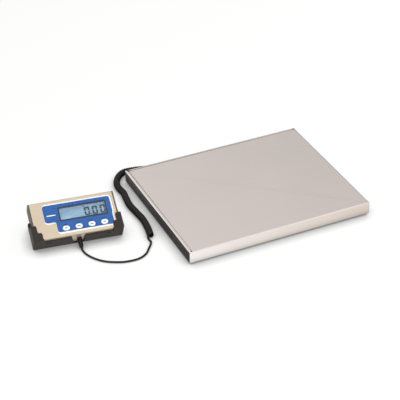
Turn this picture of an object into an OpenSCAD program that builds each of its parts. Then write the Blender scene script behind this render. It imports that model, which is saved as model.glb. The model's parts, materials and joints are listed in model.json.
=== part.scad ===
/* [Platform] */
// Width of the weighing platform
platform_w = 381; // [300:1:600]
// Depth of the weighing platform
platform_d = 305; // [260:1:500]
// Height of the platter's folded skirt
skirt_h = 23.4; // [23:0.1:40]
// Gap between the skirt and the floor
skirt_gap = 5; // [4.5:0.1:9]
// Thickness of the platter's steel sheet
platter_t = 1; // [0.8:0.1:1.6]
// Outer radius of the platter's folded corners
platter_r = 2; // [1.8:0.1:5]

/* [Platform works] */
// Gap between the skirt and the base frame
frame_gap = 3; // [2:0.5:8]
// Thickness of the base frame's sheet
frame_t = 1.5; // [1:0.1:3]
// Height of the base frame's upturned flange
flange_h = 9; // [8:0.5:12]
// Height of the rubber feet
foot_h = 6; // [5.5:0.5:9]
// Radius of the rubber feet
foot_r = 13; // [9:0.5:16]
// Distance of each load point from the platform's edges
load_inset = 36; // [28:1:60]
// Length of a load cell
cell_l = 62; // [55:1:75]
// Width of a load cell
cell_w = 14; // [12:0.5:20]
// Height of a load cell
cell_h = 9.5; // [8:0.1:10.5]
// Height of the spacer under a load cell's fixed end
spacer_h = 5; // [4.8:0.1:7]
// Radius of a load stud
stud_r = 3; // [2:0.1:4]
// How far the platter sinks at full load
platter_travel = 0.8; // [0.3:0.1:0.9]

/* [Indicator] */
// Width of the indicator over its end caps
head_w = 164; // [150:1:220]
// Length of the indicator's face up the slope
head_h = 78; // [74:0.5:110]
// Thickness of the indicator
head_t = 28.5; // [27:0.5:40]
// Wall of the indicator's shells
shell_t = 2; // [1.5:0.1:3]
// Thickness of the end caps
cap_t = 3; // [2:0.5:5]
// Angle at which the indicator leans back from flat
head_lean = 28; // [20:1:40]
// Turn of the indicator about the upright
head_yaw = -8.37; // [-20:0.01:20]
// Distance from the platform's left edge to the indicator's centre
head_gap = 159; // [140:1:260]
// Distance from the platform's front edge to the bracket's front edge
head_back = 153; // [120:1:200]

/* [Keys and display] */
// Width of a key
key_w = 13; // [9:0.5:16]
// Height of a key up the slope
key_h = 9.5; // [7:0.5:12]
// Distance between neighbouring keys
key_pitch = 24.4; // [21:0.1:26]
// Travel of a key
key_travel = 0.7; // [0.3:0.1:0.8]
// Width of the display's window
lens_w = 92; // [70:1:100]
// Height of the display's window
lens_h = 31; // [24:1:32]
// Thickness of the blue overlay
overlay_t = 0.4; // [0.2:0.1:0.6]

/* [Bracket] */
// Wall of the bracket's sides
side_t = 3.6; // [2.5:0.1:6]
// Wall of the bracket's front bar
bar_t = 3; // [2:0.1:5]
// Height of the front bar between the lips
bar_h = 26; // [20:0.5:27]
// Thickness of the bracket's back plate
plate_t = 3.2; // [2.5:0.1:5]
// Height of the back plate up the slope
plate_h = 50; // [48:0.5:56]
// Thickness of the lips over the indicator's corners
lip_t = 2; // [1.5:0.1:3]
// Radius of the two screw holes in the back plate
wall_hole_r = 2.25; // [1.5:0.05:3]
// Distance between the two screw holes
wall_hole_pitch = 60; // [30:1:100]
// Length of the fold-out stand from its pin to its foot bar
stand_l = 25.7; // [22:0.1:34]
// Radius of the stand's foot bar and arm ends
stand_r = 5; // [4:0.1:6]
// Thickness of the stand's arms
stand_t = 4; // [3:0.1:6]

/* [Cord] */
// Thickness of the straight cord
cord_d = 3.8; // [3:0.1:3.9]
// Outer thickness of the curled stretch
coil_d = 13.5; // [10:0.5:16]

/* [Hidden] */
$fn = 48;

fit = 0.05;        // radial clearance of pins and studs that run in a bore
gap = 0.3;         // clearance between pieces that slide past each other
e = 1;             // how far a cut runs past the face it cuts

// the bracket's outside, and the platform's place beside it
bracket_w = head_w + 2 * gap + 2 * side_t + 0.2;
head_reach = head_gap + bracket_w / 2 * cos(head_yaw) + 2.3;
platform_left = (head_reach - platform_w) / 2;
platform_front = -platform_d / 2;
corners = [[0, 0], [1, 0], [0, 1], [1, 1]];

// heights of the platform's pieces above the floor
platter_top = skirt_gap + skirt_h;
platter_under = platter_top - platter_t;
stiffener_t = 2;
stiffener_z = platter_under - stiffener_t;
frame_top = foot_h + frame_t;
cell_z = frame_top + spacer_h;
cell_top = cell_z + cell_h;
stud_head_t = stiffener_z - cell_top - platter_travel - 0.1;

// the base frame's outline, inside the skirt
frame_in = platter_t + frame_gap;
frame_w = platform_w - 2 * frame_in;
frame_d = platform_d - 2 * frame_in;

// along a load cell, counted from its load point
cell_nose = 8;
cell_fixed = [cell_l - cell_nose - 18, cell_l - cell_nose - 6];
cell_screw_r = 2;
foot_at = 17;
foot_screw_r = 2;
nut_h = 2.5;

// the cord's way out at the back
gland_x = 150;
gland_r = 4;
gland_z = frame_top + 4.2;
gland_out = 9;
slot_w = 2 * gland_r + 5;
slot_top = gland_z + gland_r + platter_travel + 1;

// the indicator in its bracket; face is the height of its front above the bracket's back
seat_v = bar_t + gap;
seat_w = plate_t + gap;
face_w = seat_w + head_t;
lip_w = face_w + overlay_t + gap;
body_half = head_w / 2 - cap_t;
split_c = 10.5;
boot_u = 1.5;
boot_r = 5;
boot_tip_r = 4;
boot_out = 17;

// the display and the keys on the indicator's face, from its lower edge
lens_u = 17;
lens_b = 30.7;
lens_t = 1.2;
key_b = 15.7;
key_u0 = -20.7;
key_proud = 0.6;
key_flange = 1.2;
key_flange_t = 1.6;
board_c = 17;
board_t = 1.6;
board_h = 26;
switch_h = 1.8;

// the 9 V battery and its door
battery_l = 48.5;
battery_w = 26.5;
battery_t = 17.5;
battery_b = head_h - shell_t - battery_w - 0.8;
door_w = 60;
door_t = 1.6;
door_b = battery_b - 1;

// the fold-out stand, as a place on the sloping back
pin_v = 44;
pin_w = -7;
pin_r = 2;
lug_t = 5;
foot_z = stand_r;
pin_z = pin_v * sin(head_lean) + pin_w * cos(head_lean);
stand_drop = asin((pin_z - foot_z) / stand_l);
stand_turn = -stand_drop - head_lean;

// turns a place on the sloping bracket into a place in the row
function lean_y(p) = p[1] * cos(head_lean) - p[2] * sin(head_lean);
function lean_z(p) = p[1] * sin(head_lean) + p[2] * cos(head_lean);
function head_point(p) = [
    platform_left - head_gap + p[0] * cos(head_yaw) - lean_y(p) * sin(head_yaw),
    platform_front + head_back + p[0] * sin(head_yaw) + lean_y(p) * cos(head_yaw),
    lean_z(p)];

// the cord's route: places from the platform's front left corner, heights from the floor
cord_r = cord_d / 2;
cord_z = cord_r + 0.1;
coil_z = coil_d / 2 + 0.1;
gland_end = [gland_x, platform_d + gland_out, gland_z];
boot_w = seat_w + split_c;
corner = [platform_left, platform_front, 0];
boot_end = head_point([boot_u, -boot_out - gap, boot_w]) - corner;
boot_mid = head_point([boot_u, -boot_out - 2.4, boot_w]) - corner;
boot_line = head_point([boot_u, -boot_out - 4.5, boot_w]) - corner;
// past the bend the route stretches with the platform's depth
bend_y = 108;
usual_d = 305;
function along(p) =
    [p[0], bend_y + (p[1] - bend_y) * (platform_d - bend_y) / (usual_d - bend_y), p[2]];
lead_places = [[149, 322, 8], [143, 331, 4], [130, 335, cord_z], [112, 333, cord_z],
    [94, 328, cord_z], [78, 323.5, 3.4], [60, 321, coil_z]];
coil_places = [[60, 321, coil_z], [42, 326.5, coil_z], [26, 330, coil_z],
    [11, 331.2, coil_z], [1, 327.5, coil_z], [-8, 320, coil_z], [-17, 307.5, coil_z],
    [-22.5, 292, coil_z], [-23, 275, coil_z], [-21.5, 262, coil_z], [-24, 245, coil_z],
    [-27, 218, coil_z], [-25, 190, coil_z], [-23, 162, coil_z], [-26, 132, coil_z],
    [-31, bend_y, coil_z]];
lead_route = [gland_end, for (p = lead_places) along(p)];
coil_route = [for (p = coil_places) along(p)];
tail_route = [[-31, bend_y, coil_z], [-34, 98, 4.5], [-39, 89, 2.6], [-47, 79, cord_z],
    [-57.5, 66.5, cord_z], [-70, 59, cord_z], [-84, 56.5, cord_z], [-104, 59, cord_z],
    [-120, 65.5, cord_z], [-135.5, 75, cord_z], [-147, 87, cord_z], [-155, 100, cord_z],
    [-160, 112, cord_z], boot_line, boot_mid, boot_end];

// a smooth curve through a list of places, and a closed tube along it
function blend(a, b, c, d, t) = 0.5 * (2 * b + (c - a) * t + (2 * a - 5 * b + 4 * c - d) * t * t
    + (3 * b - a - 3 * c + d) * t * t * t);
function curve(p, steps) = [
    for (i = [0 : len(p) - 2])
        for (j = [0 : steps - 1])
            blend(p[max(i - 1, 0)], p[i], p[i + 1], p[min(i + 2, len(p) - 1)], j / steps),
    p[len(p) - 1]];
function unit(v) = v / norm(v);
function ring(p, way, r, sides) =
    let (side = unit(cross([0, 0, 1], way)), up = cross(way, side))
    [for (k = [0 : sides - 1]) p + r * (cos(360 * k / sides) * side + sin(360 * k / sides) * up)];

module tube(route, steps, r, sides) {
    path = curve(route, steps);
    last = len(path) - 1;
    rings = [for (i = [0 : last])
        each ring(path[i], unit(path[min(i + 1, last)] - path[max(i - 1, 0)]), r, sides)];
    walls = [for (i = [0 : last - 1]) for (k = [0 : sides - 1])
        let (next = (k + 1) % sides)
        [i * sides + k, (i + 1) * sides + k, (i + 1) * sides + next, i * sides + next]];
    start_cap = [for (k = [0 : sides - 1]) k];
    end_cap = [for (k = [sides - 1 : -1 : 0]) last * sides + k];
    polyhedron(points = rings, faces = concat([start_cap], walls, [end_cap]));
}

// a block with its four upright edges rounded
module rounded_block(w, d, h, r) {
    translate([r, 0, 0]) cube([w - 2 * r, d, h]);
    translate([0, r, 0]) cube([w, d - 2 * r, h]);
    for (c = corners)
        translate([r + c[0] * (w - 2 * r), r + c[1] * (d - 2 * r), 0]) cylinder(r = r, h = h);
}

// a flat outline with two round ends, centred
module oval(w, h) {
    square([w - h, h], center = true);
    for (s = [-1, 1])
        translate([s * (w - h) / 2, 0]) circle(d = h);
}

// a rectangle with round corners, from its lower left corner
module rounded_rect(w, h, r) {
    translate([r, 0]) square([w - 2 * r, h]);
    translate([0, r]) square([w, h - 2 * r]);
    for (c = corners)
        translate([r + c[0] * (w - 2 * r), r + c[1] * (h - 2 * r)]) circle(r = r);
}

module at_platform() {
    translate([platform_left, platform_front, 0]) children();
}

// the four load points; each child is drawn with its load cell running inwards along +X
module at_load_point(c) {
    translate([load_inset + c[0] * (platform_w - 2 * load_inset),
        load_inset + c[1] * (platform_d - 2 * load_inset), 0])
        mirror([c[0], 0, 0]) children();
}

module at_load_points() {
    at_platform()
        for (c = corners)
            at_load_point(c) children();
}

// the bracket's frame: across, up the slope, and out of the face
module at_head() {
    translate([platform_left - head_gap, platform_front + head_back, 0])
        rotate([0, 0, head_yaw])
            rotate([head_lean, 0, 0]) children();
}

module at_housing() {
    at_head() translate([0, seat_v, seat_w]) children();
}

// runs a flat outline drawn as (up the slope, out of the face) across the indicator
module across(half) {
    translate([-half, 0, 0])
        rotate([90, 0, 90])
            linear_extrude(2 * half) children();
}

// ---------------------------------------------------------------- platform
module platter() {
    color("#cfc7c0")
    at_platform()
        difference() {
            translate([0, 0, skirt_gap]) rounded_block(platform_w, platform_d, skirt_h, platter_r);
            translate([platter_t, platter_t, skirt_gap - e])
                rounded_block(platform_w - 2 * platter_t, platform_d - 2 * platter_t,
                    skirt_h - platter_t + e, platter_r - platter_t);
            translate([gland_x - slot_w / 2, platform_d - 2 * platter_t, skirt_gap - e])
                cube([slot_w, 4 * platter_t, slot_top - skirt_gap + e]);
        }
}

module platter_stiffeners() {
    web = 42;
    lip = 5;
    length = platform_w - 2 * platter_t - 14;
    color("#a9a9ab")
    at_platform()
        for (y = [load_inset, platform_d / 2, platform_d - load_inset])
            translate([platter_t + 7, y - web / 2, stiffener_z])
                difference() {
                    translate([0, 0, -lip]) cube([length, web, stiffener_t + lip]);
                    translate([-e, stiffener_t, -lip - e])
                        cube([length + 2 * e, web - 2 * stiffener_t, lip + e]);
                }
}

module load_studs() {
    tip_z = frame_top + platter_travel + 0.4;
    color("#b9bcc0")
    at_load_points() {
        translate([0, 0, stiffener_z - stud_head_t]) cylinder(r = 6.5, h = stud_head_t);
        translate([0, 0, tip_z]) cylinder(r = stud_r, h = stiffener_z - tip_z);
    }
}

module stud_nuts() {
    color("#b9bcc0")
    at_load_points()
        translate([0, 0, cell_z - platter_travel - nut_h])
            difference() {
                cylinder(r = 5.5, h = nut_h, $fn = 6);
                translate([0, 0, -e]) cylinder(r = stud_r, h = nut_h + 2 * e);
            }
}

module base_frame() {
    color("#3c3f42")
    difference() {
        at_platform()
            translate([frame_in, frame_in, foot_h])
                difference() {
                    cube([frame_w, frame_d, frame_t + flange_h]);
                    translate([frame_t, frame_t, frame_t])
                        cube([frame_w - 2 * frame_t, frame_d - 2 * frame_t, flange_h + e]);
                }
        at_load_points() {
            translate([foot_at, 0, foot_h - e]) cylinder(r = foot_screw_r, h = frame_t + 2 * e);
            for (x = cell_fixed)
                translate([x, 0, foot_h - e]) cylinder(r = cell_screw_r, h = frame_t + 2 * e);
        }
        at_platform()
            translate([gland_x, platform_d - frame_in - 2 * frame_t, gland_z])
                rotate([-90, 0, 0]) cylinder(r = gland_r - 1, h = 4 * frame_t);
    }
}

module feet() {
    color("#26272a")
    at_load_points()
        translate([foot_at, 0, 0])
            difference() {
                union() {
                    cylinder(r1 = foot_r - 1.5, r2 = foot_r, h = 1.5);
                    translate([0, 0, 1.5]) cylinder(r = foot_r, h = foot_h - 1.5);
                }
                translate([0, 0, -e]) cylinder(r = 4.5, h = e + foot_h - 2);
                translate([0, 0, -e]) cylinder(r = foot_screw_r, h = foot_h + 2 * e);
            }
}

module foot_screws() {
    head_h = 2;
    color("#b9bcc0")
    at_load_points()
        translate([foot_at, 0, 0]) {
            translate([0, 0, foot_h - 2 - head_h]) cylinder(r = 4, h = head_h);
            translate([0, 0, foot_h - 2]) cylinder(r = foot_screw_r, h = 2 + frame_t + nut_h);
        }
}

module foot_nuts() {
    color("#b9bcc0")
    at_load_points()
        translate([foot_at, 0, frame_top])
            difference() {
                cylinder(r = 4.4, h = nut_h, $fn = 6);
                translate([0, 0, -e]) cylinder(r = foot_screw_r, h = nut_h + 2 * e);
            }
}

// a bending beam: two round windows joined by a slot, where the strain gauges sit
module load_cell(c) {
    window_x = cell_l / 2 - cell_nose - 4;
    window_r = 3;
    color("#c2c4c7")
    at_platform()
        at_load_point(c)
            translate([0, 0, cell_z])
                difference() {
                    translate([-cell_nose, -cell_w / 2, 0]) cube([cell_l, cell_w, cell_h]);
                    translate([0, 0, -e]) cylinder(r = stud_r + fit, h = cell_h + 2 * e);
                    for (x = cell_fixed)
                        translate([x, 0, -e]) cylinder(r = cell_screw_r, h = cell_h + 2 * e);
                    for (x = [window_x - 5, window_x + 5])
                        translate([x, cell_w / 2 + e, cell_h / 2])
                            rotate([90, 0, 0]) cylinder(r = window_r, h = cell_w + 2 * e);
                    translate([window_x - 5, -cell_w / 2 - e, cell_h / 2 - 1])
                        cube([10, cell_w + 2 * e, 2]);
                }
}

module cell_spacers() {
    length = 22;
    color("#8d9094")
    at_load_points()
        difference() {
            translate([cell_l - cell_nose - length, -cell_w / 2, frame_top])
                cube([length, cell_w, spacer_h]);
            for (x = cell_fixed)
                translate([x, 0, frame_top - e]) cylinder(r = cell_screw_r, h = spacer_h + 2 * e);
        }
}

module cell_screws() {
    head_h = 1.8;
    color("#b9bcc0")
    at_load_points()
        for (x = cell_fixed)
            translate([x, 0, 0]) {
                translate([0, 0, foot_h - head_h]) cylinder(r = 3.6, h = head_h);
                translate([0, 0, foot_h])
                    cylinder(r = cell_screw_r, h = frame_t + spacer_h + cell_h - 0.5);
            }
}

// the board that joins the four cells, beside the cord's way out
module at_junction() {
    at_platform()
        translate([gland_x - 32, platform_d - load_inset - 78, 0]) children();
}

board_holes = [[4, 4], [60, 4], [4, 36], [60, 36]];
junction_z = frame_top + 4;

module junction_board() {
    color("#2f6b3f")
    at_junction()
        translate([0, 0, junction_z])
            difference() {
                cube([64, 40, 1.6]);
                for (h = board_holes)
                    translate([h[0], h[1], -e]) cylinder(r = 1.2, h = 1.6 + 2 * e);
            }
}

module board_spacers() {
    color("#d9d9d4")
    at_junction()
        for (h = board_holes)
            translate([h[0], h[1], 0]) {
                translate([0, 0, frame_top]) cylinder(r = 2.6, h = 4);
                translate([0, 0, junction_z]) cylinder(r = 1.2, h = 1.6);
                translate([0, 0, junction_z + 1.6]) cylinder(r = 2.2, h = 1);
            }
}

module terminal_blocks() {
    color("#2c8f5d")
    at_junction()
        for (x = [9, 36])
            translate([x, 3, junction_z + 1.6]) cube([19, 7, 5.5]);
}

// one lead from each cell's fixed end, along the frame's floor to the board
module cell_leads() {
    r = 1.2;
    z = frame_top + r + 0.1;
    turn = 3;
    socket = [1, 2, 0, 3];
    board = [gland_x - 32, platform_d - load_inset - 78];
    color("#d8d8d8")
    at_platform()
        for (i = [0 : 3]) {
            c = corners[i];
            s = c[0] == 0 ? 1 : -1;
            to_lane = c[1] == 0 ? 1 : -1;
            cell_end = load_inset + cell_l - cell_nose;
            x = c[0] == 0 ? cell_end : platform_w - cell_end;
            y = c[1] == 0 ? load_inset : platform_d - load_inset;
            drop_x = board[0] + 12 + 13 * socket[i];
            lane_y = board[1] - 12 - 4 * to_lane;
            tube([[x, y, cell_z + cell_h / 2], [x + s * 2, y, cell_z + cell_h / 2],
                [x + s * 5, y, cell_z - 2], [x + s * 8, y + to_lane * turn, z],
                [x + s * 8, lane_y - to_lane * turn, z], [x + s * (8 + turn), lane_y, z],
                [drop_x - s * turn, lane_y, z], [drop_x, lane_y + turn, z],
                [drop_x, board[1] - 5, z], [drop_x, board[1] - 3, z + 3],
                [drop_x, board[1] - 1.5, junction_z + 2.6], [drop_x, board[1] + 1, junction_z + 3.1],
                [drop_x, board[1] + 3, junction_z + 3.1]], 1, r, 8);
        }
}

module cord_gland() {
    wall_y = platform_d - frame_in;
    color("#1f1f21")
    at_platform()
        translate([gland_x, wall_y, gland_z])
            rotate([-90, 0, 0]) {
                cylinder(r = gland_r, h = frame_in + 2);
                translate([0, 0, frame_in + 2])
                    cylinder(r1 = gland_r, r2 = gland_r - 1.2, h = gland_out - 2);
                translate([0, 0, -frame_t - 4]) cylinder(r = gland_r - 1, h = frame_t + 4);
            }
}

module gland_nut() {
    color("#1f1f21")
    at_platform()
        translate([gland_x, platform_d - frame_in - frame_t, gland_z])
            rotate([90, 0, 0])
                difference() {
                    cylinder(r = 4.1, h = 3, $fn = 6);
                    translate([0, 0, -e]) cylinder(r = gland_r - 1, h = 3 + 2 * e);
                }
}

// ---------------------------------------------------------------- cord
module cord_lead() {
    color("#161617") at_platform() tube(lead_route, 3, cord_r, 8);
}

module cord_coil() {
    color("#161617") at_platform() tube(coil_route, 1, coil_d / 2, 12);
}

module cord_tail() {
    color("#161617") at_platform() tube(tail_route, 3, cord_r, 8);
}

// ---------------------------------------------------------------- bracket
// the stepped outline of a lip, from the bracket's outer corner inwards
module lip_outline() {
    step_in = 19;
    tall = 33;
    low = 17;
    narrow = 11;
    difference() {
        union() {
            square([narrow, tall - 4]);
            square([step_in, low - 4]);
            square([step_in - 4, low]);
            square([narrow - 4, tall]);
            translate([step_in - 4, low - 4]) circle(r = 4);
            translate([narrow - 4, tall - 4]) circle(r = 4);
            translate([narrow, low]) square([3, 3]);
        }
        translate([narrow + 3, low + 3]) circle(r = 3);
    }
}

// the front bar's outline, seen along the slope, with the cord's notch
module bar_outline() {
    full = lip_w + lip_t;
    shoulder = 20;
    difference() {
        union() {
            translate([-bracket_w / 2, 0]) square([bracket_w, bar_h]);
            for (s = [0, 1])
                mirror([s, 0]) translate([-bracket_w / 2, 0]) square([shoulder, full]);
        }
        polygon([[-9, 2], [9, 2], [13, bar_h + e], [-14, bar_h + e]]);
    }
}

module bracket() {
    half = bracket_w / 2;
    full = lip_w + lip_t;
    wall_top = 52;
    color("#3a3530")
    at_head()
        difference() {
            union() {
                translate([0, bar_t, 0]) rotate([90, 0, 0]) linear_extrude(bar_t) bar_outline();
                translate([-half, 0, 0]) cube([bracket_w, plate_h, plate_t]);
                for (s = [0, 1])
                    mirror([s, 0, 0]) {
                        translate([-half, 0, 0])
                            rotate([90, 0, 90])
                                linear_extrude(side_t)
                                    polygon([[0, 0], [wall_top, 0], [wall_top, 12], [34, 20],
                                        [33, full], [0, full]]);
                        translate([-half, 0, lip_w]) linear_extrude(lip_t) lip_outline();
                        translate([-76, pin_v, 0]) stand_lug();
                    }
            }
            for (s = [-1, 1])
                translate([s * wall_hole_pitch / 2, 28, -e])
                    cylinder(r = wall_hole_r, h = plate_t + 2 * e);
            for (s = [-1, 1])
                translate([s * 57 - 4, -e, 20]) cube([8, bar_t + 2 * e, 2.5]);
        }
}

// an ear under the back plate that holds one of the stand's pins
module stand_lug() {
    difference() {
        union() {
            translate([0, -6, pin_w]) cube([lug_t, 12, -pin_w + 0.5]);
            translate([0, 0, pin_w]) rotate([0, 90, 0]) cylinder(r = 5, h = lug_t);
        }
        translate([-e, 0, pin_w]) rotate([0, 90, 0]) cylinder(r = pin_r, h = lug_t + 2 * e);
        translate([-e, -6 - e, pin_w - 5 - e]) cube([lug_t + 2 * e, 1 + e, 5 + e]);
        translate([-e, 5, pin_w - 5 - e]) cube([lug_t + 2 * e, 1 + e, 5 + e]);
    }
}

module stand_pins() {
    color("#9a9da1")
    at_head()
        for (s = [0, 1])
            mirror([s, 0, 0])
                translate([-76 - stand_t - gap, pin_v, pin_w])
                    rotate([0, 90, 0]) cylinder(r = pin_r, h = stand_t + gap + lug_t);
}

module stand() {
    arm_u = -76 - stand_t - gap;
    color("#141415")
    at_head()
        translate([0, pin_v, pin_w])
            rotate([stand_turn, 0, 0])
                difference() {
                    union() {
                        for (s = [0, 1])
                            mirror([s, 0, 0])
                                translate([arm_u, 0, 0]) {
                                    rotate([0, 90, 0]) cylinder(r = stand_r, h = stand_t);
                                    translate([0, 0, -stand_r]) cube([stand_t, stand_l, 2 * stand_r]);
                                }
                        translate([arm_u, stand_l, 0])
                            rotate([0, 90, 0]) cylinder(r = stand_r, h = -2 * arm_u);
                    }
                    for (s = [0, 1])
                        mirror([s, 0, 0])
                            translate([arm_u - e, 0, 0])
                                rotate([0, 90, 0]) cylinder(r = pin_r + fit, h = stand_t + 2 * e);
                }
}

// ---------------------------------------------------------------- indicator
// the housing's section, with round front edges: up the slope, then out of the face
module section_outline(inset) {
    r = 3 - inset;
    w = head_h - 2 * inset;
    t = head_t - 2 * inset;
    translate([inset, inset]) {
        square([w, t - r]);
        translate([r, 0]) square([w - 2 * r, t]);
        for (x = [r, w - r])
            translate([x, t - r]) circle(r = r);
    }
}

module shell_ring() {
    difference() {
        across(body_half) section_outline(0);
        across(body_half + e) section_outline(shell_t);
    }
}

module key_places() {
    for (i = [0 : 3])
        key_place(i) children();
}

module key_place(i) {
    translate([key_u0 + i * key_pitch, key_b, 0]) children();
}

module boot_hole() {
    translate([boot_u, -e, split_c]) rotate([-90, 0, 0]) cylinder(r = boot_r, h = shell_t + 2 * e);
}

module socket_hole() {
    translate([socket_u, head_h + e, socket_c])
        rotate([90, 0, 0]) cylinder(r = socket_r, h = shell_t + 2 * e);
}

socket_u = 55;
socket_c = 6;
socket_r = 4;

module front_shell() {
    color("#d9c9b0")
    at_housing()
        difference() {
            shell_ring();
            translate([-body_half - e, -e, -e])
                cube([2 * body_half + 2 * e, head_h + 2 * e, split_c + e]);
            translate([lens_u - lens_w / 2 - 0.2, lens_b - 0.2, head_t - shell_t - e])
                cube([lens_w + 0.4, lens_h + 0.4, shell_t + 2 * e]);
            key_places()
                translate([0, 0, head_t - shell_t - e])
                    linear_extrude(shell_t + 2 * e) oval(key_w + 2 * gap, key_h + 2 * gap);
            boot_hole();
        }
}

module back_shell() {
    color("#c9bba4")
    at_housing()
        difference() {
            union() {
                difference() {
                    shell_ring();
                    translate([-body_half - e, -e, split_c])
                        cube([2 * body_half + 2 * e, head_h + 2 * e, head_t]);
                }
                battery_walls();
            }
            translate([-door_w / 2 - gap, door_b - gap, -e])
                cube([door_w + 2 * gap, head_h - door_b + gap + e, door_t + gap + e]);
            translate([-door_w / 2 + 2, door_b + 2, -e])
                cube([door_w - 4, battery_w - 2.5, shell_t + 2 * e]);
            boot_hole();
            socket_hole();
        }
}

// two ribs that hold the battery's ends
module battery_walls() {
    for (x = [-battery_l / 2 - 2, battery_l / 2 + 7])
        translate([x, battery_b, shell_t - 0.5]) cube([1.5, battery_w, 14.5]);
}

module end_cap(side) {
    color("#4a423b")
    at_housing()
        mirror([side, 0, 0])
            difference() {
                translate([-head_w / 2, 0, 0]) rotate([90, 0, 90])
                    linear_extrude(cap_t) section_outline(0);
                cap_screw_places()
                    translate([0, 0, -e]) cylinder(r = 1.5, h = cap_t + 2 * e);
            }
}

module cap_screw_places() {
    for (b = [9, head_h - 9])
        translate([-head_w / 2, b, 6]) rotate([0, 90, 0]) children();
}

module end_cap_screws() {
    color("#8f9194")
    at_housing()
        for (s = [0, 1])
            mirror([s, 0, 0])
                cap_screw_places() cylinder(r = 1.5, h = cap_t);
}

module overlay() {
    color("#2a5ab0")
    at_housing()
        translate([0, 0, head_t])
            difference() {
                linear_extrude(overlay_t) overlay_outline();
                translate([lens_u - lens_w / 2, lens_b, -e]) cube([lens_w, lens_h, overlay_t + 2 * e]);
                key_places()
                    translate([0, 0, -e])
                        linear_extrude(overlay_t + 2 * e) oval(key_w + 2 * gap, key_h + 2 * gap);
            }
}

module overlay_outline() {
    union() {
        translate([-57, 31.7]) rounded_rect(129, 36.5, 5);
        translate([-37, 9]) rounded_rect(107.5, 40, 5);
        translate([60, 20]) square([10.5, 20]);
        difference() {
            translate([-40, 28.7]) square([4, 4]);
            translate([-40, 28.7]) circle(r = 3);
        }
    }
}

module lens() {
    color("#9cc4e4")
    at_housing()
        translate([lens_u - lens_w / 2, lens_b, head_t - lens_t - 0.3]) cube([lens_w, lens_h, lens_t]);
}

module lcd() {
    margin = 1;
    color("#7fa8a0")
    at_housing()
        translate([lens_u - lens_w / 2 + margin, lens_b + margin, head_t - lens_t - 0.3 - 2.8])
            cube([lens_w - 2 * margin, lens_h - 2 * margin, 2.8]);
}

module backlight() {
    margin = 1;
    color("#e8e8e0")
    at_housing()
        translate([lens_u - lens_w / 2 + margin, lens_b + margin, head_t - lens_t - 0.3 - 5.8])
            cube([lens_w - 2 * margin, lens_h - 2 * margin, 3]);
}

module main_board() {
    color("#2f6b3f")
    at_housing()
        difference() {
            translate([-70, shell_t + 0.5, board_c]) cube([140, board_h, board_t]);
            for (u = post_u)
                translate([u, post_b, board_c - e]) cylinder(r = 1.2, h = board_t + 2 * e);
        }
}

post_u = [-64, -36, 64];
post_b = 8;

// moulded posts that carry the board from the back shell
module board_posts() {
    color("#c9bba4")
    at_housing()
        for (u = post_u)
            translate([u, post_b, 0]) {
                translate([0, 0, shell_t]) cylinder(r = 2.8, h = board_c - shell_t);
                translate([0, 0, board_c]) cylinder(r = 1.2, h = board_t);
            }
}

module dome_switches() {
    color("#c8c8c4")
    at_housing()
        key_places()
            translate([-3, -3, board_c + board_t]) cube([6, 6, switch_h]);
}

module buzzer() {
    color("#1b1b1c")
    at_housing()
        translate([-52, 15, board_c + board_t]) cylinder(r = 6, h = 5);
}

module battery() {
    color("#2b2b2e")
    at_housing()
        translate([-battery_l / 2, battery_b, shell_t + gap])
            rounded_block(battery_l, battery_w, battery_t, 2);
}

module battery_snap() {
    color("#141415")
    at_housing()
        translate([battery_l / 2, battery_b + 0.8, shell_t + gap + 1]) cube([6, 25, 12.5]);
}

module battery_door() {
    color("#c9bba4")
    at_housing() {
        translate([-door_w / 2, door_b, 0]) cube([door_w, head_h - door_b, door_t]);
        for (b = [door_b + 6, door_b + 9, door_b + 12])
            translate([-12, b, -0.3]) cube([24, 1.2, 0.5]);
    }
}

module power_socket() {
    bore_r = 2.8;
    depth = 10;
    color("#1b1b1c")
    at_housing()
        translate([socket_u, head_h, socket_c])
            rotate([90, 0, 0])
                difference() {
                    cylinder(r = socket_r, h = depth + 4);
                    translate([0, 0, -e]) cylinder(r = bore_r, h = depth + e);
                }
}

module cord_boot() {
    color("#111112")
    at_housing()
        translate([boot_u, 0, split_c])
            rotate([90, 0, 0]) {
                translate([0, 0, -shell_t - 2]) cylinder(r = boot_r + 1.2, h = 2);
                translate([0, 0, -shell_t]) cylinder(r = boot_r, h = shell_t + seat_v);
                translate([0, 0, seat_v]) cylinder(r1 = boot_r, r2 = boot_tip_r, h = boot_out);
            }
}

module key(i) {
    color("#f4f4f2")
    at_housing()
        key_place(i) {
            top = head_t + overlay_t + key_proud;
            under = head_t - shell_t - gap;
            foot = board_c + board_t + switch_h + key_travel + 0.1;
            translate([0, 0, under]) linear_extrude(top - under) oval(key_w, key_h);
            translate([0, 0, under - key_flange_t])
                linear_extrude(key_flange_t) oval(key_w + 2 * key_flange, key_h + 2 * key_flange);
            translate([0, 0, foot]) cylinder(r = 2.5, h = under - foot);
        }
}

// ---------------------------------------------------------------- choice of node
platter();
platter_stiffeners();
load_studs();
stud_nuts();
base_frame();
feet();
foot_screws();
foot_nuts();
load_cell(corners[0]);  // load_cell_front_left
load_cell(corners[1]);  // load_cell_front_right
load_cell(corners[2]);  // load_cell_back_left
load_cell(corners[3]);  // load_cell_back_right
cell_spacers();
cell_screws();
junction_board();
board_spacers();
terminal_blocks();
cell_leads();
cord_gland();
gland_nut();
cord_lead();
cord_coil();
cord_tail();
bracket();
stand_pins();
stand();
front_shell();
back_shell();
end_cap(0);  // end_cap_left
end_cap(1);  // end_cap_right
end_cap_screws();
overlay();
lens();
lcd();
backlight();
main_board();
board_posts();
dome_switches();
buzzer();
battery();
battery_snap();
battery_door();
power_socket();
cord_boot();
key(0);  // key_1
key(1);  // key_2
key(2);  // key_3
key(3);  // key_4
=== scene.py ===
import json
import math

import bpy
from mathutils import Matrix, Vector
from mathutils.geometry import interpolate_bezier


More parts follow.
